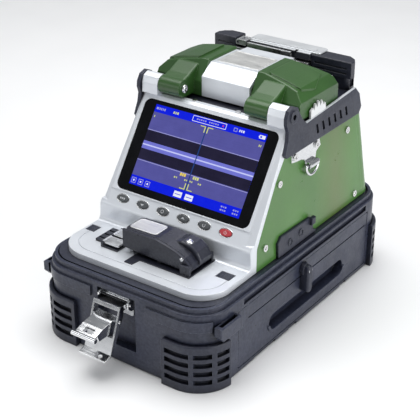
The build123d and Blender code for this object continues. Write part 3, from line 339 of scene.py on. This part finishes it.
dress("wind_cover", COVER_GREEN)
lid_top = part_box("heater_lid")[1].z
LID_STRIP_T = 2.4 * MM
dress("heater_lid", two_tone("heater_lid_finish", (0.03, 0.033, 0.043), (0.74, 0.76, 0.78),
                             [(2, lid_top - LID_STRIP_T, 1.0)], 0.4, 0.34, 0.5))


# ---------------------------------------------------------------- small pieces
def new_piece(name, mesh_maker, materials, body, smooth=True):
    """Builds a mesh piece from a function that fills a bmesh, then hangs it on a body."""
    mesh = bpy.data.meshes.new(name)
    bm = bmesh.new()
    mesh_maker(bm)
    bmesh.ops.recalc_face_normals(bm, faces=bm.faces)
    bm.to_mesh(mesh)
    bm.free()
    piece = bpy.data.objects.new(name, mesh)
    bpy.context.scene.collection.objects.link(piece)
    for material in materials:
        mesh.materials.append(material)
    if smooth:
        mesh.shade_smooth()
        mesh.set_sharp_from_angle(angle=math.radians(38))
    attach(piece, body)
    return piece


def rounded(width, height, radius, steps=CORNER_STEPS):
    """Corner points of a rounded rectangle, anticlockwise from the right."""
    points = []
    for cx, cy, start in ((1, 1, 0), (-1, 1, 90), (-1, -1, 180), (1, -1, 270)):
        for k in range(steps + 1):
            a = math.radians(start + 90.0 * k / steps)
            x = cx * (width / 2 - radius) + radius * math.cos(a)
            points.append((x, cy * (height / 2 - radius) + radius * math.sin(a)))
    return points


def ellipse(width, height, steps=40):
    turns = [2 * math.pi * k / steps for k in range(steps)]
    return [(width / 2 * math.cos(t), height / 2 * math.sin(t)) for t in turns]


def loft(bm, place, rings):
    """Closed skin through rings of (x, y, z) in a local plane set by place; both ends are capped."""
    rows = [[bm.verts.new(place @ Vector(p)) for p in ring] for ring in rings]
    for low, high in zip(rows, rows[1:]):
        for k in range(len(low)):
            j = (k + 1) % len(low)
            bm.faces.new((low[k], low[j], high[j], high[k]))
    bm.faces.new(list(reversed(rows[0])))
    bm.faces.new(rows[-1])


def plate_rings(width, height, radius, thick, edge, rim=0.0, sink=0.0):
    """Rings of a plate with a rolled edge and, if asked, a sunk field inside a raised rim."""
    def ring(inset, z):
        corner = max(radius - inset, radius * 0.3)
        return [(x, y, z) for x, y in rounded(width - 2 * inset, height - 2 * inset, corner)]
    rings = [ring(0, 0), ring(0, thick - edge), ring(edge * 0.3, thick - edge * 0.3), ring(edge, thick)]
    if sink:
        rings += [ring(rim, thick), ring(rim + sink, thick - sink), ring(rim + 3 * sink, thick - sink)]
    return rings


def turned(x, y, z, degrees, axis):
    """A local plane at a point, facing up and then turned about one axis."""
    return Matrix.Translation((x, y, z)) @ Matrix.Rotation(math.radians(degrees), 4, axis)


# badge plate on the cover
BADGE_GREY = metal("badge_plate", (0.86, 0.86, 0.84), (0.74, 0.74, 0.73), 0.42,
                   brush=(50.0, 1300.0, 1300.0), spread=0.06)
centre_lo, centre_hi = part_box("cover_centre")
badge_place = Matrix.Translation((0.0, centre_lo.y + 31.7 * MM, centre_hi.z - 0.1 * MM))


def badge(bm):
    rings = plate_rings(40 * MM, 29.6 * MM, 1.6 * MM, 0.45 * MM, 0.25 * MM, rim=1.3 * MM, sink=0.16 * MM)
    loft(bm, badge_place, rings)


new_piece("cover_badge", badge, [BADGE_GREY], "wind_cover")

# cleaver plate, screw and pins
arm_lo, arm_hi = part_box("cleaver_arm")
PLATE_GREY = metal("cleaver_plate_metal", (0.80, 0.80, 0.79), (0.66, 0.66, 0.66), 0.5,
                   brush=(50.0, 1200.0, 1200.0), spread=0.06)


def cleaver_plate(bm):
    top_slope = math.degrees(math.atan2(0.7, 33.0))
    place = turned(arm_lo.x + 15.5 * MM, arm_lo.y + 14.4 * MM, arm_hi.z - 0.37 * MM, -top_slope, "Y")
    rings = plate_rings(27 * MM, 17 * MM, 3.2 * MM, 0.55 * MM, 0.3 * MM, rim=1.1 * MM, sink=0.18 * MM)
    loft(bm, place, rings)


new_piece("cleaver_plate", cleaver_plate, [PLATE_GREY], "cleaver_arm")


def dome_screw(bm, place, radius, height, socket, neck=0.0):
    """Domed screw head with a round socket, and if asked a neck that reaches below its seat."""
    profile = [(1.0, 0.0), (1.0, 0.35), (0.93, 0.62), (0.78, 0.83), (0.58, 0.95), (0.36, 1.0)]
    heights = [(radius * r, height * h) for r, h in profile]
    heights += [(socket / 2, height * 0.985), (socket * 0.48, height * 0.45)]
    if neck:
        heights = [(radius * 0.62, -neck), (radius * 0.62, 0.0)] + heights
    loft(bm, place, [[(x, y, h) for x, y in ellipse(2 * r, 2 * r, RING_STEPS)] for r, h in heights])


def arm_screw(bm):
    place = turned(arm_lo.x + 54.8 * MM, arm_lo.y + 14.6 * MM, arm_hi.z - 1.6 * MM, 6.7, "Y")
    dome_screw(bm, place, 3.1 * MM, 1.9 * MM, 2.2 * MM)


new_piece("cleaver_screw", arm_screw, [POLISHED], "cleaver_arm")


def arm_pins(bm):
    for dx, dz, r in ((57.9, -9.3, 1.7), (62.3, -16.2, 1.7)):
        place = turned(arm_lo.x + dx * MM, arm_lo.y + 0.3 * MM, arm_hi.z + dz * MM, 90, "X")
        dome_screw(bm, place, r * MM, 0.9 * MM, 1.2 * MM)


new_piece("cleaver_pins", arm_pins, [POLISHED], "cleaver_arm")


# bright line along the top edge of each side rail, and the screw of the drawer catch
TRIM_EDGE = ((145.0, 170.4), (212.0, 174.4), (222.5, 175.2), (229.2, 168.6), (232.4, 156.4))


def edge_lines(bm):
    for sign in (-1, 1):
        rings = []
        for depth, z in TRIM_EDGE:
            x = SIDE_HALF - (z - SIDE_Z0) * SIDE_LEAN
            corners = ((x + 0.9, z - 0.9), (x + 3.0, z - 0.9), (x + 3.0, z - 0.1), (x + 0.9, z - 0.1))
            rings.append([(sign * cx * MM, (depth + DATUM_Y) * MM, cz * MM) for cx, cz in corners])
        loft(bm, Matrix.Identity(4), rings)


new_piece("trim_edge_lines", edge_lines, [SILVER], "splicer", smooth=False)
catch_face_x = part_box("drawer_catch")[1].x


def catch_screw(bm):
    place = turned(catch_face_x - 0.2 * MM, CATCH_AXIS_Y * MM, CATCH_AXIS_Z * MM, 90, "Y")
    dome_screw(bm, place, 2.7 * MM, 0.2 * MM, 1.5 * MM)


new_piece("catch_screw", catch_screw, [POLISHED], "drawer_catch")


# bright nuts on the inner ends of the cover's hinge pins
def hinge_nuts(bm):
    for sign in (-1, 1):
        place = turned(sign * 31.4 * MM, COVER_AXIS_Y * MM, COVER_AXIS_Z * MM, -90 * sign, "Y")
        dome_screw(bm, place, 3.6 * MM, 2.4 * MM, 2.0 * MM, neck=0.62 * MM)


new_piece("hinge_nuts", hinge_nuts, [POLISHED], "splicer")


# ribbed pads set in the deck
PAD_SPOTS = ((-68.8, 50.0, 9.2, 9.4), (63.0, 50.0, 12.6, 9.4))


def deck_pads(bm):
    for x, depth, width, height in PAD_SPOTS:
        place = Matrix.Translation((x * MM, (depth + DATUM_Y) * MM, DECK_SEAT_Z * MM))
        loft(bm, place, plate_rings(width * MM, height * MM, 0.8 * MM, 0.9 * MM, 0.2 * MM))
        for k in range(5):
            rib_y = depth + DATUM_Y + (k - 2) * 1.7
            rib = Matrix.Translation((x * MM, rib_y * MM, (DECK_SEAT_Z + 0.85) * MM))
            loft(bm, rib, plate_rings((width - 1.6) * MM, 0.8 * MM, 0.3 * MM, 0.35 * MM, 0.15 * MM))


new_piece("deck_pads", deck_pads, [RUBBER], "splicer")


# ---------------------------------------------------------------- screen picture
glass_lo, glass_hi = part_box("lcd_glass")
TILT = math.radians(SCREEN_TILT)
GLASS_H = 78.2 * MM
UP = Vector((0.0, math.cos(TILT), math.sin(TILT)))
OUT = Vector((0.0, -math.sin(TILT), math.cos(TILT)))
GLASS_FOOT = Vector((0.0, glass_lo.y, glass_hi.z - GLASS_H * math.sin(TILT)))


def on_glass(x, up, out):
    """A point on the screen plane, in millimetres from the middle of the glass's bottom edge."""
    return GLASS_FOOT + Vector((x * MM, 0.0, 0.0)) + UP * (up * MM) + OUT * (out * MM)


SCREEN = {
    "blue": lit("screen_blue", (0.0, 0.010, 0.72), 0.08),
    "violet": lit("screen_violet", (0.085, 0.084, 0.32), 0.16, 90.0),
    "dark": lit("screen_dark", (0.012, 0.010, 0.032), 0.4, 60.0),
    "fibre": lit("screen_fibre", (0.16, 0.17, 0.62), 0.15, 120.0),
    "core": lit("screen_core", (0.55, 0.58, 0.95), 0.08),
    "line": lit("screen_line", (0.34, 0.34, 0.66), 0.2, 500.0),
    "axis": lit("screen_axis", (0.01, 0.045, 0.2), 0.3),
    "white": lit("screen_white", (0.82, 0.84, 0.95), 0.06),
    "yellow": lit("screen_yellow", (0.62, 0.66, 0.22), 0.2),
    "amber": lit("screen_amber", (0.85, 0.65, 0.08), 0.2),
    "magenta": lit("screen_magenta", (0.55, 0.05, 0.3), 0.1),
}
SHADES = list(SCREEN)
X0, X1, U0, U1 = -53.6, 54.6, 6.2, 74.8


def tick(x, up, side, down):
    """A corner mark beside the middle line: one bar away from it and one along it."""
    along = (x, x + side * 5.2, up, up - down * 0.7, "yellow")
    return [along, (x, x + side * 0.9, up, up - down * 5.2, "yellow")]


def dashes(x, up, widths, height, shade, gap=0.7):
    """A row of short blocks that stands for a line of small marks."""
    row = []
    for width in widths:
        row.append((x, x + width, up, up + height, shade))
        x += width + gap
    return row


def frame_of(x0, x1, up0, up1, t, shade):
    level = [(x0, x1, up0, up0 + t, shade), (x0, x1, up1 - t, up1, shade)]
    return level + [(x0, x0 + t, up0, up1, shade), (x1 - t, x1, up0, up1, shade)]


PICTURE = [(X0, X1, U0, U1, "violet"), (X0, X1, 68.4, U1, "blue"), (X0, X1, U0, 14.1, "blue")]
PICTURE += [(X0, X1, 43.5, 52.8, "dark"), (X0, X1, 28.0, 37.0, "dark")]
PICTURE += [(X0, X1, 53.0, 53.5, "line"), (X0, X1, 27.0, 27.5, "line")]
PICTURE += [(X0, X1, 37.0, 43.6, "fibre"), (X0, X1, 39.9, 41.0, "core")]
PICTURE += [(-0.45, 0.55, 14.1, 68.4, "axis")]
PICTURE += tick(-0.9, 67.8, -1, 1) + tick(1.0, 67.8, 1, 1) + tick(-0.9, 14.7, -1, -1) + tick(1.0, 14.7, 1, -1)
PICTURE += frame_of(-15.6, 17.0, 69.4, 74.2, 0.45, "white")
PICTURE += dashes(-11.6, 71.2, (1.5, 1.0, 1.5, 1.0, 1.5), 1.1, "line")
PICTURE += dashes(0.4, 71.2, (1.2, 1.5, 1.0, 1.5, 1.2), 1.1, "line")
PICTURE += [(13.2, 14.6, 71.1, 72.5, "magenta")]
PICTURE += dashes(-52.2, 70.8, (2.2, 1.0, 1.0, 0.8, 1.2), 1.9, "line")
PICTURE += dashes(-35.0, 70.8, (1.3, 1.0, 1.5), 1.9, "yellow")
PICTURE += frame_of(24.2, 27.6, 70.2, 73.2, 0.5, "line") + dashes(29.4, 70.8, (1.0, 1.0, 1.4), 1.8, "white")
PICTURE += [(48.2, 53.6, 70.2, 73.0, "white"), (48.9, 50.6, 70.9, 72.3, "blue")]
PICTURE += [(47.7, 48.3, 71.0, 72.2, "white")]
PICTURE += dashes(-52.0, 64.0, (0.8,), 1.6, "yellow") + dashes(50.2, 63.8, (0.9, 0.7), 1.7, "yellow")
PICTURE += dashes(-9.4, 24.6, (1.6, 1.3, 1.6), 2.4, "amber", 0.5)
PICTURE += dashes(3.2, 24.6, (1.6, 1.3, 1.6), 2.4, "yellow", 0.5)
PICTURE += dashes(-14.2, 21.6, (1.4, 1.0), 1.3, "yellow") + dashes(-3.9, 21.6, (1.2, 0.8), 1.3, "yellow")
PICTURE += dashes(1.3, 21.6, (1.1, 0.9), 1.3, "yellow") + dashes(9.4, 21.6, (1.0, 1.3), 1.3, "yellow")
PICTURE += [(-9.2, -1.4, 7.4, 12.0, "white"), (-8.2, -2.4, 9.4, 10.0, "blue")]
PICTURE += [(1.8, 9.4, 7.4, 12.0, "white"), (2.8, 8.4, 9.4, 10.0, "blue")]
for corner in (-52.4, -45.4, -38.4):
    PICTURE += frame_of(corner, corner + 4.6, 7.6, 12.2, 0.5, "line")
    PICTURE += [(corner + 1.6, corner + 3.0, 9.2, 10.7, "white")]
for up in (8.0, 10.6):
    PICTURE += dashes(36.0, up, (1.6, 0.8, 1.4), 1.2, "line") + dashes(47.4, up, (1.4, 1.2, 1.0), 1.2, "line")


def screen_picture(bm):
    """One thin closed slab whose front is cut into cells, each shaded by the topmost block over it."""
    blocks = [(min(a, b), max(a, b), min(c, d), max(c, d), s) for a, b, c, d, s in PICTURE]
    xs = sorted({round(v, 3) for b in blocks for v in b[:2]})
    ups = sorted({round(v, 3) for b in blocks for v in b[2:4]})
    front = {}
    for i, x in enumerate(xs):
        for j, up in enumerate(ups):
            front[i, j] = bm.verts.new(on_glass(x, up, 0.10))
    for i in range(len(xs) - 1):
        for j in range(len(ups) - 1):
            face = bm.faces.new((front[i, j], front[i + 1, j], front[i + 1, j + 1], front[i, j + 1]))
            x, up = (xs[i] + xs[i + 1]) / 2, (ups[j] + ups[j + 1]) / 2
            over = [b for b in blocks if b[0] < x < b[1] and b[2] < up < b[3]]
            face.material_index = SHADES.index(over[-1][4])
    last_i, last_j = len(xs) - 1, len(ups) - 1
    rim = [(i, 0) for i in range(last_i)] + [(last_i, j) for j in range(last_j)]
    rim += [(i, last_j) for i in range(last_i, 0, -1)] + [(0, j) for j in range(last_j, 0, -1)]
    back = [bm.verts.new(front[key].co - OUT * (0.06 * MM)) for key in rim]
    for k, key in enumerate(rim):
        j = (k + 1) % len(rim)
        bm.faces.new((front[key], back[k], back[j], front[rim[j]]))
    bm.faces.new(list(reversed(back)))


new_piece("screen_picture", screen_picture, list(SCREEN.values()), "splicer", smooth=False)


# ---------------------------------------------------------------- key marks
PALE = moulded("key_mark_ink", (0.62, 0.64, 0.66), (0.5, 0.52, 0.55), (0.7, 0.7, 0.7), 0.45,
               grain=2600.0, depth=0.00001)
PINK = moulded("key_mark_ink_red", (0.85, 0.55, 0.55), (0.7, 0.4, 0.4), (0.9, 0.7, 0.7), 0.45,
               grain=2600.0, depth=0.00001)


def ring_outline(radius, thick, gap=0.0, steps=26):
    """A flat ring, or an open one with a gap at the top, as an outer and an inner line of points."""
    start, sweep = 90 + gap / 2, 360 - gap
    turns = [math.radians(start + sweep * k / steps) for k in range(steps + 1)]
    return [[(r * math.cos(t), r * math.sin(t)) for t in turns] for r in (radius, radius - thick)]


MARKS = {
    1: ([[(x, -0.7), (x + 1.2, -0.7), (x + 1.2, 0.7), (x, 0.7)] for x in (-2.4, -0.6, 1.2)], None),
    2: ([[(-1.9, 0.5), (0.0, -1.2), (1.9, 0.5)]], None),
    3: ([], (1.5, 0.5, 0.0)),
    4: ([[(-1.9, -0.6), (1.9, -0.6), (0.0, 1.2)]], None),
    5: ([[(0.4, 0.9), (1.9, 1.2), (1.2, 0.1)]], (1.4, 0.5, 80.0)),
    6: ([[(-0.25, 0.2), (0.25, 0.2), (0.25, 1.6), (-0.25, 1.6)]], (1.4, 0.45, 90.0)),
}


def key_mark(number):
    lo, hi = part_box(f"button_{number}")
    centre = (lo + hi) / 2
    points = [v.co for v in NODES[f"button_{number}"].data.vertices]
    crown = max(p.dot(OUT) for p in points)
    middle = centre + OUT * (crown - centre.dot(OUT))
    face_up = [p.dot(UP) for p in points if p.dot(OUT) > crown - 0.2 * MM]
    middle += UP * ((min(face_up) + max(face_up)) / 2 - middle.dot(UP))
    shapes, ring = MARKS[number]

    def spot(x, up, out):
        return middle + Vector((x * MM, 0.0, 0.0)) + UP * (up * MM) + OUT * (out * MM)

    def build(bm):
        for outline in shapes:
            low = [bm.verts.new(spot(x, up, -0.15)) for x, up in outline]
            high = [bm.verts.new(spot(x, up, 0.06)) for x, up in outline]
            bm.faces.new(list(reversed(low)))
            bm.faces.new(high)
            for k in range(len(outline)):
                j = (k + 1) % len(outline)
                bm.faces.new((low[k], low[j], high[j], high[k]))
        if ring:
            radius, thick, gap = ring
            outer, inner = ring_outline(radius, thick, gap)
            rows = [[bm.verts.new(spot(x, up, out)) for x, up in line]
                    for line, out in ((outer, -0.15), (outer, 0.06), (inner, 0.06), (inner, -0.15))]
            for a, b in zip(rows, rows[1:] + rows[:1]):
                for k in range(len(a) - 1):
                    bm.faces.new((a[k], a[k + 1], b[k + 1], b[k]))
            if gap:
                bm.faces.new([row[0] for row in rows])
                bm.faces.new([row[-1] for row in reversed(rows)])
            else:
                bmesh.ops.remove_doubles(bm, verts=bm.verts, dist=1e-7)

    return new_piece(f"key_mark_{number}", build, [PINK if number == 6 else PALE], f"button_{number}",
                     smooth=False)


for number in MARKS:
    key_mark(number)


# thin polished bezels round the keys, a stand-in for the highlight on the bezel's cut edge
def key_highlight_rings(bm):
    for number in MARKS:
        x = (number - 1) * KEY_PITCH + KEY_FIRST_X
        rings = []
        for grow, out in ((0.36, -0.5), (1.0, -0.2), (1.0, 0.12), (0.85, 0.26), (0.5, 0.26), (0.36, 0.12)):
            outline = ellipse(KEY_W + 2 * grow, KEY_H + 2 * grow)
            rings.append([bm.verts.new(on_glass(x + dx, up + KEY_UP, out)) for dx, up in outline])
        for low, high in zip(rings, rings[1:] + rings[:1]):
            for k in range(len(low)):
                j = (k + 1) % len(low)
                bm.faces.new((low[k], low[j], high[j], high[k]))


new_piece("key_highlight_rings", key_highlight_rings, [POLISHED], "splicer")


# ---------------------------------------------------------------- floor, lights, camera
def pale_floor():
    net = Net("studio_floor")
    colour = net.blend(net.span(net.noise(3.0, 3.0), 0.3, 0.7), (0.955, 0.957, 0.96), (0.97, 0.97, 0.97))
    roughness = net.span(net.noise(20.0, 3.0), 0.3, 0.7, 0.55, 0.7)
    material = net.finish(colour, roughness, net.noise(200.0, 2.0), 0.00002)
    mesh = bpy.data.meshes.new("floor")
    side = 6.0
    corners = [(-side, -side, 0), (side, -side, 0), (side, side, 0), (-side, side, 0)]
    mesh.from_pydata(corners, [], [(0, 1, 2, 3)])
    floor = bpy.data.objects.new("floor", mesh)
    floor.location.z = cad_box[0].z - 0.0002
    mesh.materials.append(material)
    bpy.context.scene.collection.objects.link(floor)


def softbox(name, position, target, width, height, watts, colour=(1.0, 1.0, 1.0)):
    light = bpy.data.lights.new(name, "AREA")
    light.shape = "RECTANGLE"
    light.size, light.size_y, light.energy, light.color = width, height, watts, colour
    lamp = bpy.data.objects.new(name, light)
    lamp.location = position
    lamp.rotation_mode = "QUATERNION"
    lamp.rotation_quaternion = (Vector(target) - Vector(position)).to_track_quat("-Z", "Y")
    bpy.context.scene.collection.objects.link(lamp)


def surround():
    world = bpy.data.worlds.new("studio")
    world.use_nodes = True
    background = world.node_tree.nodes["Background"]
    background.inputs["Color"].default_value = (0.93, 0.96, 1.0, 1.0)
    background.inputs["Strength"].default_value = 0.30
    bpy.context.scene.world = world


def place_camera():
    data = bpy.data.cameras.new("camera")
    data.lens, data.sensor_width = 95.7, 36.0
    camera = bpy.data.objects.new("camera", data)
    camera.location = (0.4773, -0.6836, 0.5065)
    camera.rotation_mode = "QUATERNION"
    camera.rotation_quaternion = Vector((-0.517, 0.723, -0.458)).to_track_quat("-Z", "Y")
    bpy.context.scene.collection.objects.link(camera)
    bpy.context.scene.camera = camera


pale_floor()
surround()
softbox("overhead", (-0.15, 0.1, 1.3), (0.0, 0.0, 0.1), 1.3, 1.1, 17.0)
softbox("right_side", (1.4, 0.0, 0.45), (0.0, 0.0, 0.1), 0.9, 0.6, 9.0)
softbox("front_left", (-0.7, -1.3, 0.6), (0.0, 0.0, 0.08), 0.5, 0.5, 2.0)
place_camera()
bpy.context.scene.view_settings.view_transform = "Standard"
